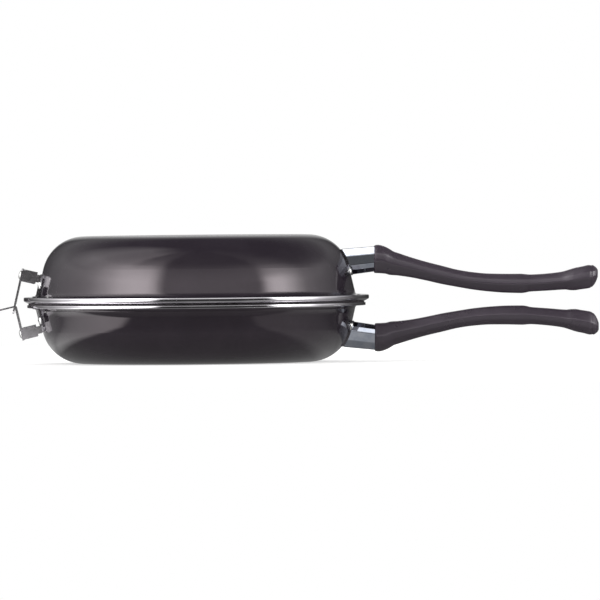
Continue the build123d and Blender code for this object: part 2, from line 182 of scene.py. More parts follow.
def makeCoating():
    material, add = startMaterial("nonStickCoat")
    place = add("ShaderNodeTexCoord")["Object"]
    radius, angle, height = aroundAxis(add, place)
    haze = add("ShaderNodeTexNoise", {
        "Vector": place, "Scale": 1 / coating["hazeSize"], "Detail": 5.0, "Roughness": 0.6,
    })["Fac"]
    haze = add("ShaderNodeMapRange", {
        "Value": haze, "From Min": coating["hazeFrom"], "From Max": coating["hazeTo"],
    })["Result"]
    # wiping marks run round the wall
    along = add("ShaderNodeMath", {
        0: angle, 1: coating["wallRadius"] * coating["wipeStretch"],
    }, operation="MULTIPLY")[0]
    unrolled = add("ShaderNodeCombineXYZ", {"X": along, "Y": radius, "Z": height})["Vector"]
    wipes = add("ShaderNodeTexNoise", {
        "Vector": unrolled, "Scale": 1 / coating["wipeSize"], "Detail": 3.0,
    })["Fac"]
    wipes = add("ShaderNodeMapRange", {
        "Value": wipes, "From Min": coating["wipeFrom"], "From Max": coating["wipeTo"],
    })["Result"]
    marks = add("ShaderNodeMath", {0: wipes, 1: haze}, operation="MULTIPLY")[0]
    rough = add("ShaderNodeMapRange", {
        "Value": marks, "To Min": coating["roughness"], "To Max": coating["wiped"],
    })["Result"]
    # turned rings, only on the flat bases
    facing = add("ShaderNodeSeparateXYZ", {"Vector": add("ShaderNodeNewGeometry")["Normal"]})["Z"]
    facing = add("ShaderNodeMath", {0: facing}, operation="ABSOLUTE")[0]
    flat = add("ShaderNodeMapRange", {
        "Value": facing, "From Min": coating["flatFrom"], "From Max": coating["flatTo"],
    })["Result"]
    turns = add("ShaderNodeMath", {0: radius, 1: 2 * math.pi / coating["ringPitch"]}, operation="MULTIPLY")[0]
    rings = add("ShaderNodeMath", {0: turns}, operation="SINE")[0]
    rings = add("ShaderNodeMath", {0: rings, 1: flat}, operation="MULTIPLY")[0]
    peel = add("ShaderNodeTexNoise", {
        "Vector": place, "Scale": 1 / coating["peelSize"], "Detail": 2.0,
    })["Fac"]
    fromSeam = add("ShaderNodeMath", {0: height, 1: coating["seam"]}, operation="SUBTRACT")[0]
    fromSeam = add("ShaderNodeMath", {0: fromSeam}, operation="ABSOLUTE")[0]
    belly = add("ShaderNodeMapRange", {
        "Value": fromSeam, "From Min": coating["bellyFrom"], "From Max": coating["bellyTo"],
        "To Min": coating["bellyHeight"], "To Max": 0.0,
    }, interpolation_type="SMOOTHSTEP")["Result"]
    flare = add("ShaderNodeMapRange", {
        "Value": fromSeam, "From Min": coating["flareFrom"], "From Max": coating["flareTo"],
    })["Result"]
    flare = add("ShaderNodeMath", {0: flare, 1: 2.0}, operation="POWER")[0]
    form = add("ShaderNodeMath", {0: flare, 1: coating["flareHeight"], 2: belly}, operation="MULTIPLY_ADD")[0]
    bump = add("ShaderNodeBump", {"Height": form, "Distance": 1.0})["Normal"]
    bump = add("ShaderNodeBump", {
        "Height": peel, "Distance": coating["peelHeight"], "Normal": bump,
    })["Normal"]
    bump = add("ShaderNodeBump", {
        "Height": rings, "Distance": coating["ringHeight"], "Normal": bump,
    })["Normal"]
    colour = add("ShaderNodeMix", {
        0: haze, 6: hexColour(coating["colour"]), 7: hexColour(coating["hazy"]),
    }, data_type="RGBA")[2]
    shader = add("ShaderNodeBsdfPrincipled", {
        "Base Color": colour, "Roughness": rough, "IOR": coating["ior"], "Normal": bump,
        "Specular Tint": hexColour(coating["sheen"]),
    })["BSDF"]
    add("ShaderNodeOutputMaterial", {"Surface": shader})
    return material


# stainless strip, rolled into a ring and buffed: nearly a mirror, with hair-fine lines
# that run round the rim and a slight grey haze from handling
strip = {
    "colour": "#d2cfd3", "hazy": "#bab7bc", "roughness": 0.06, "handled": 0.12,
    "lineWidth": 0.25 * mm, "lineHeight": 0.0003 * mm, "hazeSize": 14 * mm,
    "hazeFrom": 0.35, "hazeTo": 0.75,
}


def makeStripSteel():
    material, add = startMaterial("polishedRimSteel")
    place = add("ShaderNodeTexCoord")["Object"]
    radius, _, height = aroundAxis(add, place)
    section = add("ShaderNodeCombineXYZ", {"X": radius, "Z": height})["Vector"]
    lines = add("ShaderNodeTexNoise", {
        "Vector": section, "Scale": 1 / strip["lineWidth"], "Detail": 2.0,
    })["Fac"]
    haze = add("ShaderNodeTexNoise", {"Vector": place, "Scale": 1 / strip["hazeSize"], "Detail": 4.0})["Fac"]
    haze = add("ShaderNodeMapRange", {
        "Value": haze, "From Min": strip["hazeFrom"], "From Max": strip["hazeTo"],
    })["Result"]
    colour = add("ShaderNodeMix", {
        0: haze, 6: hexColour(strip["colour"]), 7: hexColour(strip["hazy"]),
    }, data_type="RGBA")[2]
    rough = add("ShaderNodeMapRange", {
        "Value": haze, "To Min": strip["roughness"], "To Max": strip["handled"],
    })["Result"]
    bump = add("ShaderNodeBump", {"Height": lines, "Distance": strip["lineHeight"]})["Normal"]
    shader = add("ShaderNodeBsdfPrincipled", {
        "Base Color": colour, "Metallic": 1.0, "Roughness": rough, "Normal": bump,
    })["BSDF"]
    add("ShaderNodeOutputMaterial", {"Surface": shader})
    return material


# stainless sleeve, drawn over a former and buffed: mirror flats that wave a little, with
# polishing lines along the handle and a bluish heat haze
sleeve = {
    "colour": "#9c9fa7", "hazy": "#858b97", "roughness": 0.07, "hazed": 0.14,
    "waveSize": 7 * mm, "waveHeight": 0.008 * mm, "lineWidth": 0.5 * mm, "lineHeight": 0.0006 * mm,
    "lineShare": 0.05, "hazeSize": 5 * mm, "hazeFrom": 0.4, "hazeTo": 0.8,
}


def makeSleeveSteel():
    material, add = startMaterial("buffedSleeveSteel")
    place = add("ShaderNodeTexCoord")["Object"]
    waves = add("ShaderNodeTexNoise", {
        "Vector": place, "Scale": 1 / sleeve["waveSize"], "Detail": 1.0,
    })["Fac"]
    drawn = add("ShaderNodeMapping", {"Vector": place, "Scale": (sleeve["lineShare"], 1, 1)})["Vector"]
    lines = add("ShaderNodeTexNoise", {
        "Vector": drawn, "Scale": 1 / sleeve["lineWidth"], "Detail": 2.0,
    })["Fac"]
    haze = add("ShaderNodeTexNoise", {
        "Vector": place, "Scale": 1 / sleeve["hazeSize"], "Detail": 4.0, "Roughness": 0.6,
    })["Fac"]
    haze = add("ShaderNodeMapRange", {
        "Value": haze, "From Min": sleeve["hazeFrom"], "From Max": sleeve["hazeTo"],
    })["Result"]
    colour = add("ShaderNodeMix", {
        0: haze, 6: hexColour(sleeve["colour"]), 7: hexColour(sleeve["hazy"]),
    }, data_type="RGBA")[2]
    rough = add("ShaderNodeMapRange", {
        "Value": haze, "To Min": sleeve["roughness"], "To Max": sleeve["hazed"],
    })["Result"]
    bump = add("ShaderNodeBump", {"Height": waves, "Distance": sleeve["waveHeight"]})["Normal"]
    bump = add("ShaderNodeBump", {
        "Height": lines, "Distance": sleeve["lineHeight"], "Normal": bump,
    })["Normal"]
    shader = add("ShaderNodeBsdfPrincipled", {
        "Base Color": colour, "Metallic": 1.0, "Roughness": rough, "Normal": bump,
    })["BSDF"]
    add("ShaderNodeOutputMaterial", {"Surface": shader})
    return material


# cold-rolled stainless sheet, stamped and folded: bright mill finish with rolling lines
# up the sheet and duller patches where it was handled; the saddles and the hinge feet take a
# darker copy of the same steel, painted shade for the dark surroundings that they mirror
millSheet = {
    "colour": "#b3b0b3", "marked": "#949195", "roughness": 0.2, "dulled": 0.3,
    "lineWidth": 0.4 * mm, "lineHeight": 0.0005 * mm, "lineShare": 0.05,
    "markSize": 4 * mm, "markFrom": 0.42, "markTo": 0.75,
}
# painted shade: the same mill steel made darker for the saddles and the hinge feet
saddlePaintedShadeSheet = dict(millSheet, colour="#807d82", marked="#68656a")


def makeMillSteel(name, stock):
    material, add = startMaterial(name)
    place = add("ShaderNodeTexCoord")["Object"]
    rolled = add("ShaderNodeMapping", {"Vector": place, "Scale": (1, 1, stock["lineShare"])})["Vector"]
    lines = add("ShaderNodeTexNoise", {
        "Vector": rolled, "Scale": 1 / stock["lineWidth"], "Detail": 2.0,
    })["Fac"]
    marks = add("ShaderNodeTexNoise", {
        "Vector": place, "Scale": 1 / stock["markSize"], "Detail": 5.0, "Roughness": 0.7,
    })["Fac"]
    marks = add("ShaderNodeMapRange", {
        "Value": marks, "From Min": stock["markFrom"], "From Max": stock["markTo"],
    })["Result"]
    colour = add("ShaderNodeMix", {
        0: marks, 6: hexColour(stock["colour"]), 7: hexColour(stock["marked"]),
    }, data_type="RGBA")[2]
    rough = add("ShaderNodeMapRange", {
        "Value": marks, "To Min": stock["roughness"], "To Max": stock["dulled"],
    })["Result"]
    bump = add("ShaderNodeBump", {"Height": lines, "Distance": stock["lineHeight"]})["Normal"]
    shader = add("ShaderNodeBsdfPrincipled", {
        "Base Color": colour, "Metallic": 1.0, "Roughness": rough, "Normal": bump,
    })["BSDF"]
    add("ShaderNodeOutputMaterial", {"Surface": shader})
    return material


# soft aluminium rivets, set by a press: satin heads with tiny dents from the tool
rivetMetal = {
    "colour": "#dadad9", "dented": "#a8a7a5", "roughness": 0.22, "dull": 0.36,
    "dentSize": 0.9 * mm, "dentHeight": 0.02 * mm, "dentFrom": 0.4, "dentTo": 0.8,
}


def makeRivetMetal():
    material, add = startMaterial("pressedAluminium")
    place = add("ShaderNodeTexCoord")["Object"]
    dents = add("ShaderNodeTexNoise", {
        "Vector": place, "Scale": 1 / rivetMetal["dentSize"], "Detail": 3.0,
    })["Fac"]
    marks = add("ShaderNodeMapRange", {
        "Value": dents, "From Min": rivetMetal["dentFrom"], "From Max": rivetMetal["dentTo"],
    })["Result"]
    colour = add("ShaderNodeMix", {
        0: marks, 6: hexColour(rivetMetal["colour"]), 7: hexColour(rivetMetal["dented"]),
    }, data_type="RGBA")[2]
    rough = add("ShaderNodeMapRange", {
        "Value": marks, "To Min": rivetMetal["roughness"], "To Max": rivetMetal["dull"],
    })["Result"]
    bump = add("ShaderNodeBump", {"Height": dents, "Distance": rivetMetal["dentHeight"]})["Normal"]
    shader = add("ShaderNodeBsdfPrincipled", {
        "Base Color": colour, "Metallic": 1.0, "Roughness": rough, "Normal": bump,
    })["BSDF"]
    add("ShaderNodeOutputMaterial", {"Surface": shader})
    return material


# zinc-plated steel screw: cool grey with a faint bluish bloom
screwMetal = {
    "colour": "#c3c7cc", "bloom": "#98a0aa", "roughness": 0.2, "bloomed": 0.4,
    "bloomSize": 1.5 * mm, "bloomHeight": 0.01 * mm, "bloomFrom": 0.35, "bloomTo": 0.7,
}


def makeScrewSteel():
    material, add = startMaterial("zincPlatedSteel")
    place = add("ShaderNodeTexCoord")["Object"]
    bloom = add("ShaderNodeTexNoise", {
        "Vector": place, "Scale": 1 / screwMetal["bloomSize"], "Detail": 4.0,
    })["Fac"]
    marks = add("ShaderNodeMapRange", {
        "Value": bloom, "From Min": screwMetal["bloomFrom"], "From Max": screwMetal["bloomTo"],
    })["Result"]
    colour = add("ShaderNodeMix", {
        0: marks, 6: hexColour(screwMetal["colour"]), 7: hexColour(screwMetal["bloom"]),
    }, data_type="RGBA")[2]
    rough = add("ShaderNodeMapRange", {
        "Value": marks, "To Min": screwMetal["roughness"], "To Max": screwMetal["bloomed"],
    })["Result"]
    bump = add("ShaderNodeBump", {"Height": bloom, "Distance": screwMetal["bloomHeight"]})["Normal"]
    shader = add("ShaderNodeBsdfPrincipled", {
        "Base Color": colour, "Metallic": 1.0, "Roughness": rough, "Normal": bump,
    })["BSDF"]
    add("ShaderNodeOutputMaterial", {"Surface": shader})
    return material


# phenolic resin, compression moulded: satin charcoal with a violet cast, a fine mould grain
# and greyer, smoother wear where a hand rubs the high edges
bakelite = {
    "colour": "#433b45", "rubbed": "#544a55", "ior": 1.55, "roughness": 0.38, "polished": 0.27,
    "grainSize": 0.45 * mm, "grainHeight": 0.006 * mm, "cloudSize": 22 * mm, "cloudFrom": 0.35,
    "cloudTo": 0.65, "edgeFrom": 0.5, "edgeTo": 0.56,
}


def makeBakelite():
    material, add = startMaterial("mouldedBakelite")
    place = add("ShaderNodeTexCoord")["Object"]
    grain = add("ShaderNodeTexNoise", {
        "Vector": place, "Scale": 1 / bakelite["grainSize"], "Detail": 3.0,
    })["Fac"]
    cloud = add("ShaderNodeTexNoise", {
        "Vector": place, "Scale": 1 / bakelite["cloudSize"], "Detail": 4.0, "Roughness": 0.6,
    })["Fac"]
    cloud = add("ShaderNodeMapRange", {
        "Value": cloud, "From Min": bakelite["cloudFrom"], "From Max": bakelite["cloudTo"],
    })["Result"]
    edges = add("ShaderNodeMapRange", {
        "Value": add("ShaderNodeNewGeometry")["Pointiness"],
        "From Min": bakelite["edgeFrom"], "From Max": bakelite["edgeTo"],
    })["Result"]
    colour = add("ShaderNodeMix", {
        0: edges, 6: hexColour(bakelite["colour"]), 7: hexColour(bakelite["rubbed"]),
    }, data_type="RGBA")[2]
    rough = add("ShaderNodeMapRange", {
        "Value": cloud, "To Min": bakelite["roughness"], "To Max": bakelite["polished"],
    })["Result"]
    bump = add("ShaderNodeBump", {"Height": grain, "Distance": bakelite["grainHeight"]})["Normal"]
    shader = add("ShaderNodeBsdfPrincipled", {
        "Base Color": colour, "Roughness": rough, "IOR": bakelite["ior"], "Normal": bump,
    })["BSDF"]
    add("ShaderNodeOutputMaterial", {"Surface": shader})
    return material


# silicone ring, moulded: soft, dark and slightly dusty
silicone = {
    "colour": "#262124", "dusty": "#39343a", "ior": 1.41, "roughness": 0.5, "dusted": 0.65,
    "dustSize": 2.5 * mm, "dustHeight": 0.01 * mm, "dustFrom": 0.4, "dustTo": 0.8,
}


def makeSilicone():
    material, add = startMaterial("darkSilicone")
    place = add("ShaderNodeTexCoord")["Object"]
    dust = add("ShaderNodeTexNoise", {
        "Vector": place, "Scale": 1 / silicone["dustSize"], "Detail": 4.0,
    })["Fac"]
    marks = add("ShaderNodeMapRange", {
        "Value": dust, "From Min": silicone["dustFrom"], "From Max": silicone["dustTo"],
    })["Result"]
    colour = add("ShaderNodeMix", {
        0: marks, 6: hexColour(silicone["colour"]), 7: hexColour(silicone["dusty"]),
    }, data_type="RGBA")[2]
    rough = add("ShaderNodeMapRange", {
        "Value": marks, "To Min": silicone["roughness"], "To Max": silicone["dusted"],
    })["Result"]
    bump = add("ShaderNodeBump", {"Height": dust, "Distance": silicone["dustHeight"]})["Normal"]
    shader = add("ShaderNodeBsdfPrincipled", {
        "Base Color": colour, "Roughness": rough, "IOR": silicone["ior"], "Normal": bump,
    })["BSDF"]
    add("ShaderNodeOutputMaterial", {"Surface": shader})
    return material


finishes = {
    "coat": makeCoating(), "rim": makeStripSteel(), "sleeve": makeSleeveSteel(),
    "sheet": makeMillSteel("stampedSheetSteel", millSheet),
    "saddle": makeMillSteel("darkSheetSteel", saddlePaintedShadeSheet),
    "rivet": makeRivetMetal(), "screw": makeScrewSteel(), "resin": makeBakelite(), "seal": makeSilicone(),
}
finishOf = {
    "pan_shell": "coat", "rim_trim": "rim", "handle_bracket": "saddle", "handle_rivets": "rivet",
    "ferrule": "sleeve", "handle_grip": "resin", "handle_screw": "screw", "hinge_foot": "saddle",
    "hinge_foot_rivets": "rivet", "hinge_bracket": "sheet", "hinge_leaf": "sheet",
    "hinge_leaf_rivets": "rivet", "rim_seal": "seal",
}
for name, node in nodes.items():
    kind = name if name in finishOf else name.split("_", 1)[1]
    node.data.materials.clear()
    node.data.materials.append(finishes[finishOf[kind]])
print("finishes made:", len(finishes))


# Grips

grip = {
    "holeAlong": 143.5 * mm, "holeRise": -11.84 * mm,  # the hanging hole's middle in the grip's own frame
    "holeRadius": 4.5 * mm, "holeChamfer": 0.9 * mm, "holeFaces": (-4.2 * mm, -20.0 * mm),
    # the screw's seat: height and radius of each step of the tool that cuts it
    "screwAlong": 15.5 * mm,
    "screwSeat": [
        (-7.7 * mm, 4.35 * mm), (-11.0 * mm, 4.35 * mm), (-12.6 * mm, 5.55 * mm), (-16.0 * mm, 5.55 * mm),
    ],
    # along from the collar's face, outer edge, edge on the seam side, width
    "stations": [
        (0.0, 9.0, -9.2, 24.8), (0.6, 9.6, -9.75, 26.0), (2.6, 9.85, -9.8, 26.4),
        (5.3, 9.4, -9.95, 26.2), (8.0, 8.45, -10.2, 25.0), (10.8, 7.0, -10.95, 23.2),
        (13.6, 5.3, -11.2, 21.8), (16.4, 4.4, -11.4, 21.2),
        (24.7, 1.65, -12.45, 20.0), (36.0, -1.6, -14.6, 18.8), (47.0, -4.3, -17.0, 18.2),
        (58.0, -7.0, -18.95, 18.0), (69.0, -8.65, -20.75, 18.3), (80.0, -9.5, -21.95, 19.0),
        (91.5, -9.62, -22.7, 19.8), (102.6, -9.5, -22.87, 20.4), (105.4, -9.75, -22.5, 20.1),
        (108.2, -9.95, -21.85, 19.6), (113.0, -9.75, -21.5, 19.8), (122.0, -9.0, -20.95, 21.0),
        (130.5, -7.85, -20.3, 22.4), (133.2, -7.15, -20.2, 23.2), (136.0, -6.25, -20.55, 24.2),
        (138.8, -5.35, -20.65, 24.8), (144.3, -4.1, -19.9, 25.0), (149.9, -3.05, -19.0, 23.4),
        (152.0, -3.1, -17.8, 21.5), (153.4, -3.8, -16.1, 19.2), (154.8, -5.1, -13.3, 15.5),
        (155.5, -6.2, -11.2, 12.0),
    ],
    # one side of the section as shares of half width and half height, with each corner's rounding
    "corners": [(0.56, 1.0, 0.34), (0.93, 0.46, 0.14), (1.0, -0.1, 0.14), (0.62, -1.0, 0.34)],
    "cornerSteps": 5, "step": 1.1 * mm, "leastStep": 0.15 * mm, "cutterSides": 48, "cutterPast": 3 * mm,
    "grooveAlong": 150.9 * mm, "grooveWidth": 0.5 * mm, "grooveDepth": 0.22 * mm,
    "grooveRings": (-1.6, -0.8, 0, 0.8, 1.6),  # in groove widths from its middle
    "sharpAngle": 32,
}


def smoothValue(stations, column, along):
    # a curve through the stations that never overshoots them
    at = np.array([row[0] for row in stations])
    value = np.array([row[column] for row in stations])
    rise = np.diff(value) / np.diff(at)
    slopes = np.zeros(len(at))
    same = rise[:-1] * rise[1:] > 0
    slopes[1:-1][same] = 2 * (rise[:-1] * rise[1:])[same] / (rise[:-1] + rise[1:])[same]
    slopes[0], slopes[-1] = rise[0], rise[-1]
    index = np.clip(np.searchsorted(at, along) - 1, 0, len(at) - 2)
    width = at[index + 1] - at[index]
    t = (along - at[index]) / width
    return (
        (1 + 2 * t) * (1 - t) ** 2 * value[index] + t * (1 - t) ** 2 * width * slopes[index]
        + t * t * (3 - 2 * t) * value[index + 1] + t * t * (t - 1) * width * slopes[index + 1]
    )


def sectionOutline(halfWidth, halfHeight):
    # the grip's outline across, with every corner cut back and rounded
    side = [
        (halfWidth * across, halfHeight * up, halfHeight * cut) for across, up, cut in grip["corners"]
    ]
    corners = side + [(-across, up, cut) for across, up, cut in reversed(side)]
    return roundedOutline(corners, grip["cornerSteps"])


def gripFrame(half):
    # the grip's own axes, from its hanging hole: out along the grip, and away from the seam
    hole = next(mount for mount in frame["record"]["mounts"] if mount["name"] == half + "_hang_hole")
    away = Vector(hole["axis"]).normalized()
    along = Vector((0, 1, 0)).cross(away)
    if along.x < 0:
        along.negate()
    origin = Vector(hole["pos_m"]) - along * grip["holeAlong"] - away * grip["holeRise"]
    return origin, along, away


def turnedCutter(name, axes, along, rings):
    # a round tool that stands across the grip, from its rings of height and radius
    origin, out, away = axes
    turns = np.linspace(0, 2 * math.pi, grip["cutterSides"], endpoint=False)
    loops = [
        [
            origin + out * (along + radius * math.cos(turn)) + away * height
            + Vector((0, radius * math.sin(turn), 0)) for turn in turns
        ]
        for height, radius in rings
    ]
    return placed(name, skinned(name, loops))


def makeGrip(half):
    axes = gripFrame(half)
    origin, out, away = axes
    stations = np.array(grip["stations"]) * mm
    count = math.ceil(stations[-1][0] / grip["step"])
    places = set(np.linspace(0, stations[-1][0], count + 1)) | {row[0] for row in stations}
    places |= {grip["grooveAlong"] + grip["grooveWidth"] * share for share in grip["grooveRings"]}
    places = sorted(places)
    places = [
        place for place, later in zip(places, places[1:]) if later - place > grip["leastStep"]
    ] + [places[-1]]
    loops = []
    for along in places:
        outer, inner, width = (smoothValue(stations, column, along) for column in (1, 2, 3))
        fromGroove = (along - grip["grooveAlong"]) / grip["grooveWidth"]
        groove = grip["grooveDepth"] * math.exp(-fromGroove ** 2)
        middle = origin + out * along + away * (outer + inner) / 2
        outline = sectionOutline(width / 2 - groove, (outer - inner) / 2 - groove)
        loops.append([middle + Vector((0, point.x, 0)) + away * point.y for point in outline])
    body = placed(half + "GripBody", skinned(half + "GripBody", loops))
    top, bottom = grip["holeFaces"]
    radius, cut, past = grip["holeRadius"], grip["holeChamfer"], grip["cutterPast"]
    cutters = [
        turnedCutter(half + "HoleCutter", axes, grip["holeAlong"], [
            (top + past, radius + cut + past), (top - cut, radius),
            (bottom + cut, radius), (bottom - past, radius + cut + past),
        ]),
        turnedCutter(half + "SeatCutter", axes, grip["screwAlong"], grip["screwSeat"]),
    ]
    for cutter in cutters:
        carve = body.modifiers.new(cutter.name, "BOOLEAN")
        carve.object = cutter
        carve.solver = "EXACT"
    mesh = applied(body)
    for spare in (body, *cutters):
        bpy.data.objects.remove(spare)
    smoothed(mesh, grip["sharpAngle"])
    newPiece(half + "MouldedGrip", mesh, finishes["resin"], half, half + "_handle_grip")


for half in halves:
    makeGrip(half)
print("grips made")


# Rim trims

# each trim is strip steel clinched round the flange's edge: radius, height from the seam
# and rounding of every corner of its section, in mm
trims = {
    "seam": 41.55, "segments": 400, "cornerSteps": 8, "sharpAngle": 32,
    "upper": [
        (114.2, 4.85, 0.15), (120.0, 4.85, 1.0), (120.0, 2.1, 0.6), (116.9, 0.45, 0.3), (114.2, 0.45, 0.1),
        (114.2, 3.2, 0.05), (117.1, 3.2, 0.05), (117.1, 4.4, 0.05), (114.2, 4.4, 0.05),
    ],
    "lower": [
        (114.2, -2.55, 0.15), (117.6, -2.55, 0.5), (117.6, -0.45, 0.5), (114.2, -0.45, 0.1),
        (114.2, -0.9, 0.05), (117.1, -0.9, 0.05), (117.1, -2.1, 0.05), (114.2, -2.1, 0.05),
    ],
}


def makeTrim(half):
    section = roundedOutline(trims[half], trims["cornerSteps"])
    turns = np.linspace(0, 2 * math.pi, trims["segments"], endpoint=False)
    loops = [
        [
            Vector((at.x * math.cos(turn), at.x * math.sin(turn), trims["seam"] + at.y)) * mm
            for at in section
        ]
        for turn in turns
    ]
    mesh = skinned(half + "RolledTrim", loops, ring=True)
    smoothed(mesh, trims["sharpAngle"])
    newPiece(half + "RolledTrim", mesh, finishes["rim"], half, half + "_rim_trim")


for half in halves:
    makeTrim(half)
print("rim trims made")


# Rivets

rivets = {
    "headHeight": 1.5 * mm, "segments": 32, "sharpAngle": 40, "foundMerge": 0.001 * mm,
    "headMerge": 0.002 * mm,
    # the head's profile from its middle to the shank, as shares of its radius and height
    "profile": [
        (0.0, 0.84), (0.12, 0.86), (0.22, 0.95), (0.4, 0.94), (0.6, 0.84), (0.78, 0.66), (0.92, 0.42),
        (1.0, 0.16), (1.0, 0.03), (0.97, 0.0), (0.6, -0.01), (0.58, -0.5), (0.0, -0.5),
    ],
}


def findRivets(node):
    # the middle, axis, half length and head radius of each rivet in a CAD node
    shape = bmesh.new()
    shape.from_mesh(node.data)
    bmesh.ops.remove_doubles(shape, verts=shape.verts, dist=rivets["foundMerge"])
    found = []
    for first in shape.verts:
        if first.tag:
            continue
        first.tag = True
        group = [first]
        for vert in group:
            for edge in vert.link_edges:
                other = edge.other_vert(vert)
                if not other.tag:
                    other.tag = True
                    group.append(other)
        points = np.array([tuple(vert.co) for vert in group])
        middle = points.mean(axis=0)
        spreads, ways = np.linalg.eigh(np.cov((points - middle).T))
        lone = 2 if spreads[2] - spreads[1] > spreads[1] - spreads[0] else 0
        axis = ways[:, lone]
        along = (points - middle) @ axis
        middle = middle + axis * (along.max() + along.min()) / 2
        across = np.linalg.norm(points - middle - np.outer((points - middle) @ axis, axis), axis=1)
        found.append((Vector(middle), Vector(axis), (along.max() - along.min()) / 2, across.max()))
    shape.free()
    return found


def makeRivetTree():
    tree = bpy.data.node_groups.new("rivetHeads", "GeometryNodeTree")
    for name, kind in (
        ("Places", "NodeSocketGeometry"), ("Head radius", "NodeSocketFloat"),
        ("Head height", "NodeSocketFloat"), ("Finish", "NodeSocketMaterial"),
    ):
        tree.interface.new_socket(name, in_out="INPUT", socket_type=kind)
    tree.interface.new_socket("Heads", in_out="OUTPUT", socket_type="NodeSocketGeometry")
    add = partial(addNode, tree)
    given = add("NodeGroupInput")
    profile = rivets["profile"]
    sheet = add("GeometryNodeMeshGrid", {
        "Size X": 1.0, "Size Y": 1.0, "Vertices X": rivets["segments"] + 1, "Vertices Y": len(profile),
    })["Mesh"]
    at = add("ShaderNodeSeparateXYZ", {"Vector": add("GeometryNodeInputPosition")["Position"]})
    turn = add("ShaderNodeMath", {0: at["X"], 1: 2 * math.pi}, operation="MULTIPLY")[0]
    down = add("ShaderNodeMath", {0: at["Y"], 1: 0.5}, operation="ADD")[0]
    shares = []
    for column in (0, 1):
        share = add("ShaderNodeFloatCurve", {"Value": down})["Value"]
        mapping = share.node.mapping
        mapping.use_clip = False
        points = mapping.curves[0].points
        for index, row in enumerate(profile):
            if 0 < index < len(profile) - 1:
                points.new(index / (len(profile) - 1), row[column])
        for index, row in enumerate(profile):
            points[index].location = (index / (len(profile) - 1), row[column])
            points[index].handle_type = "VECTOR"
        mapping.update()
        shares.append(share)
    reach = add("ShaderNodeMath", {0: shares[0], 1: given["Head radius"]}, operation="MULTIPLY")[0]
    rise = add("ShaderNodeMath", {0: shares[1], 1: given["Head height"]}, operation="MULTIPLY")[0]
    cosine = add("ShaderNodeMath", {0: turn}, operation="COSINE")[0]
    sine = add("ShaderNodeMath", {0: turn}, operation="SINE")[0]
    spot = add("ShaderNodeCombineXYZ", {
        "X": add("ShaderNodeMath", {0: reach, 1: cosine}, operation="MULTIPLY")[0],
        "Y": add("ShaderNodeMath", {0: reach, 1: sine}, operation="MULTIPLY")[0],
        "Z": rise,
    })["Vector"]
    head = add("GeometryNodeSetPosition", {"Geometry": sheet, "Position": spot})["Geometry"]
    head = add("GeometryNodeMergeByDistance", {
        "Geometry": head, "Distance": rivets["headMerge"],
    })["Geometry"]
    way = add("GeometryNodeInputNamedAttribute", {"Name": "way"}, data_type="FLOAT_VECTOR")["Attribute"]
    lean = add("FunctionNodeAlignRotationToVector", {"Vector": way}, axis="Z")["Rotation"]
    heads = add("GeometryNodeInstanceOnPoints", {
        "Points": given["Places"], "Instance": head, "Rotation": lean,
    })["Instances"]
    heads = add("GeometryNodeRealizeInstances", {"Geometry": heads})["Geometry"]
    heads = add("GeometryNodeSetMaterial", {"Geometry": heads, "Material": given["Finish"]})["Geometry"]
    add("NodeGroupOutput", {"Heads": heads})
    return tree


def makeRivets(tree, half, kind):
    replaced = half + "_" + kind
    places, ways, radius = [], [], 0
    for middle, axis, reach, headRadius in findRivets(nodes[replaced]):
        radius = max(radius, headRadius)
        for way in (axis, -axis):
            places.append(middle + way * (reach - rivets["headHeight"]))
            ways.append(way)
    mesh = bpy.data.meshes.new(replaced + "Places")
    mesh.from_pydata([tuple(place) for place in places], [], [])
    stored = mesh.attributes.new("way", "FLOAT_VECTOR", "POINT")
    for index, way in enumerate(ways):
        stored.data[index].vector = way
    maker = placed(replaced + "Maker", mesh)
    modifier = maker.modifiers.new("rivetHeads", "NODES")
    modifier.node_group = tree
    values = {"Head radius": float(radius), "Head height": rivets["headHeight"], "Finish": finishes["rivet"]}
    for item in tree.interface.items_tree:
        if item.in_out == "INPUT" and item.name in values:
            modifier[item.identifier] = values[item.name]
    mesh = applied(maker)
    bpy.data.objects.remove(maker)
    smoothed(mesh, rivets["sharpAngle"])
    pieceName = half + "".join(word.capitalize() for word in kind.split("_")) + "Heads"
    newPiece(pieceName, mesh, finishes["rivet"], half, replaced)


rivetTree = makeRivetTree()
for half in halves:
    for kind in ("handle_rivets", "hinge_foot_rivets", "hinge_leaf_rivets"):
        makeRivets(rivetTree, half, kind)
print("rivets made")


# Studio

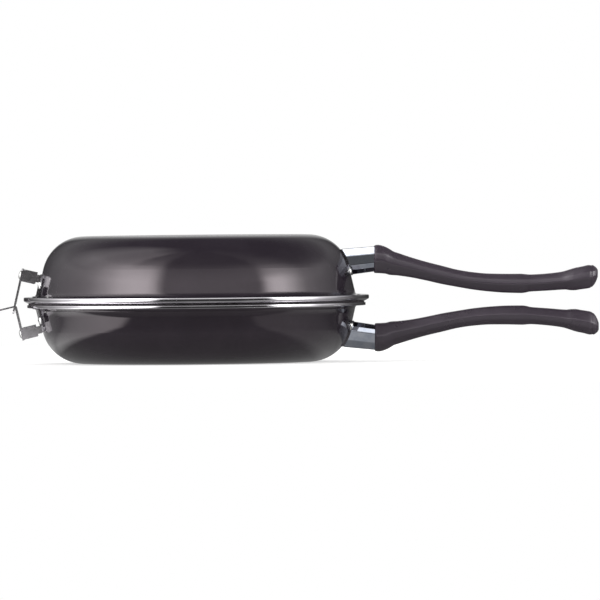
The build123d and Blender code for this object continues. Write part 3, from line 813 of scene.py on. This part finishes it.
# what reflections see: a soft lamp at each side in a dim room, with a backdrop behind and
# a screen on the left. Bearings run in degrees from the camera's side, minus to the left.
# The shares are of the brightness of the lamps, the fill or the backdrop
room = {
    "lampBrightness": 9.9, "fillBrightness": 1.75, "ambient": 0.35, "behind": 0.17,
    "frontFrom": -0.1, "frontTo": 0.5,
    "byBearing": [
        (-180, 0.0), (-152, 0.02), (-134, 0.06), (-115, 0.13), (-100, 0.21), (-87, 0.31), (-73, 0.55),
        (-61, 0.86), (-48, 1.0), (-38, 0.96), (-32, 0.62), (-28, 0.22), (-24, 0.0),
        (50, 0.0), (53.5, 0.26), (58, 0.78), (63, 1.0), (70, 0.98), (78, 0.7), (85, 0.43), (92, 0.24),
        (105, 0.14), (121, 0.07), (135, 0.025), (180, 0.0),
    ],
    "leftByHeight": [
        (-90, 0.0), (-12, 0.05), (0, 0.4), (12, 0.8), (24, 1.0), (32, 0.86), (42, 0.5), (50, 0.24),
        (62, 0.1), (78, 0.03), (90, 0.0),
    ],
    "rightByHeight": [
        (-90, 0.0), (-12, 0.05), (0, 0.4), (12, 0.8), (21, 1.0), (26, 0.84), (31, 0.4), (37, 0.18),
        (44, 0.08), (60, 0.03), (90, 0.0),
    ],
    "fillByHeight": [
        (-90, 0.03), (-4, 0.03), (2, 0.035), (13, 0.12), (19, 0.5), (25, 1.0), (34, 0.85),
        (42, 0.55), (48, 0.28), (56, 0.16), (90, 0.14),
    ],
    # a pale backdrop straight behind, which only surfaces seen at a low angle mirror
    "backdrop": 0.6, "backFrom": 171, "backTo": 178,
    "backByHeight": [(-90, 0.0), (-6, 0.3), (0, 1.0), (24, 0.85), (34, 0.3), (43, 0.0), (90, 0.0)],
    # a tall pale screen on the left, its brightness, bearings and heights
    "screen": 1.5, "screenEdge": (-54, -66), "screenEnd": (-142, -112),
    "screenFoot": (30, 44), "screenTop": (84, 72),
}


def makeRoom():
    world = bpy.data.worlds.new("studioRoom")
    world.use_nodes = True
    world.cycles.sampling_method = "NONE"
    world.node_tree.nodes.clear()
    add = partial(addNode, world.node_tree)
    parts = add("ShaderNodeSeparateXYZ", {"Vector": add("ShaderNodeTexCoord")["Generated"]})
    toCamera = add("ShaderNodeMath", {0: parts["Y"], 1: -1.0}, operation="MULTIPLY")[0]
    turn = add("ShaderNodeMath", {0: parts["X"], 1: toCamera}, operation="ARCTAN2")[0]
    lift = add("ShaderNodeMath", {0: parts["Z"]}, operation="ARCSINE")[0]
    levels = []
    for angle, limit, stops in (
        (turn, 180, room["byBearing"]), (lift, 90, room["leftByHeight"]),
        (lift, 90, room["rightByHeight"]), (lift, 90, room["fillByHeight"]),
        (lift, 90, room["backByHeight"]),
    ):
        share = add("ShaderNodeMapRange", {
            "Value": angle, "From Min": -math.radians(limit), "From Max": math.radians(limit),
        })["Result"]
        shade = add("ShaderNodeValToRGB", {"Fac": share})["Color"]
        elements = shade.node.color_ramp.elements
        while len(elements) < len(stops):
            elements.new(0.5)
        for element, (place, level) in zip(elements, stops):
            element.position = (place + limit) / (2 * limit)
            element.color = (level, level, level, 1)
        levels.append(shade)
    onRight = add("ShaderNodeMath", {0: turn, 1: 0.0}, operation="GREATER_THAN")[0]
    byHeight = add("ShaderNodeMix", {0: onRight, 6: levels[1], 7: levels[2]}, data_type="RGBA")[2]
    lampLight = add("ShaderNodeMath", {0: levels[0], 1: byHeight}, operation="MULTIPLY")[0]
    # the room is dimmer above and behind the object
    front = add("ShaderNodeMapRange", {
        "Value": toCamera, "From Min": room["frontFrom"], "From Max": room["frontTo"],
        "To Min": room["behind"], "To Max": room["fillBrightness"],
    })["Result"]
    fill = add("ShaderNodeMath", {0: levels[3], 1: front}, operation="MULTIPLY")[0]
    back = add("ShaderNodeMapRange", {
        "Value": add("ShaderNodeMath", {0: turn}, operation="ABSOLUTE")[0], "To Max": room["backdrop"],
        "From Min": math.radians(room["backFrom"]), "From Max": math.radians(room["backTo"]),
    })["Result"]
    fill = add("ShaderNodeMath", {0: levels[4], 1: back, 2: fill}, operation="MULTIPLY_ADD")[0]
    screen = room["screen"]
    for angle, edge in (
        (turn, room["screenEdge"]), (turn, room["screenEnd"]),
        (lift, room["screenFoot"]), (lift, room["screenTop"]),
    ):
        share = add("ShaderNodeMapRange", {
            "Value": angle, "From Min": math.radians(edge[0]), "From Max": math.radians(edge[1]),
        })["Result"]
        screen = add("ShaderNodeMath", {0: share, 1: screen}, operation="MULTIPLY")[0]
    fill = add("ShaderNodeMath", {0: fill, 1: screen}, operation="ADD")[0]
    mirrored = add("ShaderNodeMath", {
        0: lampLight, 1: room["lampBrightness"], 2: fill,
    }, operation="MULTIPLY_ADD")[0]
    rays = add("ShaderNodeLightPath")
    seen = add("ShaderNodeMath", {
        0: rays["Is Glossy Ray"], 1: rays["Is Transmission Ray"],
    }, operation="MAXIMUM")[0]
    level = add("ShaderNodeMath", {
        0: mirrored, 1: seen, 2: rays["Is Camera Ray"],
    }, operation="MULTIPLY_ADD")[0]
    level = add("ShaderNodeMath", {
        0: rays["Is Diffuse Ray"], 1: room["ambient"], 2: level,
    }, operation="MULTIPLY_ADD")[0]
    sky = add("ShaderNodeBackground", {"Color": (1, 1, 1, 1), "Strength": level})["Background"]
    add("ShaderNodeOutputWorld", {"Surface": sky})
    bpy.context.scene.world = world


# white paper under the pan: its glow keeps it white to the camera. Reflections see painted
# light on it instead: painted pools of light out at the sides, painted shade near the pan,
# a fade towards the front and a faint painted glow under the pan
paper = {
    "radius": 0.8, "middle": 0.07, "drop": 0.2 * mm, "colour": "#e8e8e6", "glow": 0.62,
    "segments": 96, "roughness": 0.9, "grainSize": 1.5 * mm, "grainHeight": 0.01 * mm,
    # painted light levels that only reflections see: beside the pan, far to the front and under it
    "near": 0.2, "front": 0.04, "under": 0.15, "underFrom": 158 * mm, "underTo": 134 * mm,
    # painted pools of light at the left and the right
    "left": 3.3, "leftFrom": -99 * mm, "leftTo": -112 * mm,
    "right": 0.55, "rightFrom": 82 * mm, "rightTo": 94 * mm,
    # painted shade near the pan on those pools, and the fade far to the front
    "fadeFrom": 5 * mm, "fadeTo": -110 * mm, "faded": 0.12, "endFrom": -190 * mm, "endTo": -260 * mm,
}


def makePaper():
    mesh = bpy.data.meshes.new("paleFloor")
    shape = bmesh.new()
    bmesh.ops.create_circle(shape, cap_ends=True, segments=paper["segments"], radius=paper["radius"])
    bmesh.ops.translate(shape, verts=shape.verts, vec=(paper["middle"], 0, -paper["drop"]))
    shape.to_mesh(mesh)
    shape.free()
    floor = placed("paleFloor", mesh)
    material, add = startMaterial("palePaper")
    material.cycles.emission_sampling = "NONE"
    place = add("ShaderNodeTexCoord")["Object"]
    at = add("ShaderNodeSeparateXYZ", {"Vector": place})
    # painted pool of light on the left
    left = add("ShaderNodeMapRange", {
        "Value": at["X"], "From Min": paper["leftFrom"], "From Max": paper["leftTo"], "To Max": paper["left"],
    })["Result"]
    # painted shade near the pan, which dims the pools of light
    paintedShadeNearPan = add("ShaderNodeMapRange", {
        "Value": at["Y"], "From Min": paper["fadeFrom"], "From Max": paper["fadeTo"],
        "To Min": paper["faded"],
    })["Result"]
    end = add("ShaderNodeMapRange", {
        "Value": at["Y"], "From Min": paper["endTo"], "From Max": paper["endFrom"],
    })["Result"]
    right = add("ShaderNodeMapRange", {
        "Value": at["X"], "From Min": paper["rightFrom"], "From Max": paper["rightTo"],
        "To Min": paper["near"], "To Max": paper["near"] + paper["right"],
    })["Result"]
    mirrored = add("ShaderNodeMath", {0: left, 1: right}, operation="ADD")[0]
    mirrored = add("ShaderNodeMath", {0: mirrored, 1: paintedShadeNearPan}, operation="MULTIPLY")[0]
    mirrored = add("ShaderNodeMath", {0: mirrored, 1: end, 2: paper["front"]}, operation="MULTIPLY_ADD")[0]
    # painted glow under the pan
    under = add("ShaderNodeMapRange", {
        "Value": aroundAxis(add, place)[0], "From Min": paper["underFrom"], "From Max": paper["underTo"],
        "To Max": paper["under"],
    })["Result"]
    mirrored = add("ShaderNodeMath", {0: mirrored, 1: under}, operation="ADD")[0]
    rays = add("ShaderNodeLightPath")
    seen = add("ShaderNodeMath", {
        0: rays["Is Glossy Ray"], 1: rays["Is Transmission Ray"],
    }, operation="MAXIMUM")[0]
    glow = add("ShaderNodeMath", {0: rays["Is Camera Ray"], 1: paper["glow"]}, operation="MULTIPLY")[0]
    grain = add("ShaderNodeTexNoise", {
        "Vector": place, "Scale": 1 / paper["grainSize"], "Detail": 2.0,
    })["Fac"]
    bump = add("ShaderNodeBump", {"Height": grain, "Distance": paper["grainHeight"]})["Normal"]
    sheet = add("ShaderNodeBsdfPrincipled", {
        "Base Color": hexColour(paper["colour"]), "Roughness": paper["roughness"], "Specular IOR Level": 0.0,
        "Emission Color": (1, 1, 1, 1), "Emission Strength": glow, "Normal": bump,
    })["BSDF"]
    # reflections see this emission, which is painted light, instead of the paper's own shading
    mirror = add("ShaderNodeEmission", {"Color": (1, 1, 1, 1), "Strength": mirrored})["Emission"]
    shader = add("ShaderNodeMixShader", {0: seen, 1: sheet, 2: mirror})["Shader"]
    add("ShaderNodeOutputMaterial", {"Surface": shader})
    mesh.materials.append(material)


# name, bearing from the camera's side, height angle, distance, size and watts
lamps = [
    ("softLampLeft", -58, 38, 1.7, 0.9, 9.0),
    ("softLampRight", 64, 36, 1.7, 0.8, 7.0),
    ("softLampTop", 170, 62, 1.8, 1.2, 8.0),
]
# panels that only metal mirrors: name, place, size, watts and the finishes that they light
metals = ["rim", "sleeve", "sheet", "saddle", "rivet", "screw"]
panels = [
    ("sleevePanelAbove", (0.112, -0.005, 0.42), (0.10, 0.07), 0.1, ["sleeve"]),
    ("sleevePanelFront", (0.118, -0.224, 0.35), (0.26, 0.09), 0.16, ["sleeve"]),
    ("metalPanelOver", (0.07, 0.0, 1.2), (1.7, 1.6), 6.0, metals),
]
lampTarget = Vector((0.05, 0, 0.05))
view = {
    "target": (0.0720, 0, 0.0428), "distance": 8.0, "height": 0.7, "roll": -0.55, "across": 0.417,
    "sensor": 36, "clip": 50,
}


def aim(thing, position, target, roll=0.0):
    look = (Vector(target) - Vector(position)).to_track_quat("-Z", "Y").to_matrix().to_4x4()
    thing.matrix_world = Matrix.Translation(position) @ look @ Matrix.Rotation(roll, 4, "Z")


def makeLamps():
    for name, bearing, height, distance, size, watts in lamps:
        light = bpy.data.lights.new(name, "AREA")
        light.size = size
        light.energy = watts
        lamp = placed(name, light)
        lamp.visible_camera = False
        lamp.visible_glossy = False  # reflections see the room's own lamps
        across, up = math.radians(bearing), math.radians(height)
        way = Vector((math.sin(across) * math.cos(up), -math.cos(across) * math.cos(up), math.sin(up)))
        aim(lamp, lampTarget + way * distance, lampTarget)
    for name, place, size, watts, kinds in panels:
        lit = bpy.data.collections.new(name)
        for thing in bpy.data.objects:
            if thing.type == "MESH" and any(finishes[kind] in thing.data.materials[:] for kind in kinds):
                lit.objects.link(thing)
        light = bpy.data.lights.new(name, "AREA")
        light.shape = "RECTANGLE"
        light.size, light.size_y = size
        light.energy = watts
        lamp = placed(name, light)
        lamp.visible_camera = False
        lamp.visible_diffuse = False
        lamp.light_linking.receiver_collection = lit
        aim(lamp, place, (place[0], 0, lampTarget.z))


def makeCamera():
    data = bpy.data.cameras.new("photoCamera")
    data.sensor_width = view["sensor"]
    data.lens = view["sensor"] * view["distance"] / view["across"]
    data.clip_end = view["clip"]
    camera = placed("photoCamera", data)
    up = math.radians(view["height"])
    target = Vector(view["target"])
    position = target + Vector((0, -math.cos(up), math.sin(up))) * view["distance"]
    aim(camera, position, target, math.radians(view["roll"]))
    bpy.context.scene.camera = camera


makeRoom()
makePaper()
makeLamps()
makeCamera()
bpy.context.scene.view_settings.view_transform = "Standard"
print("studio made")
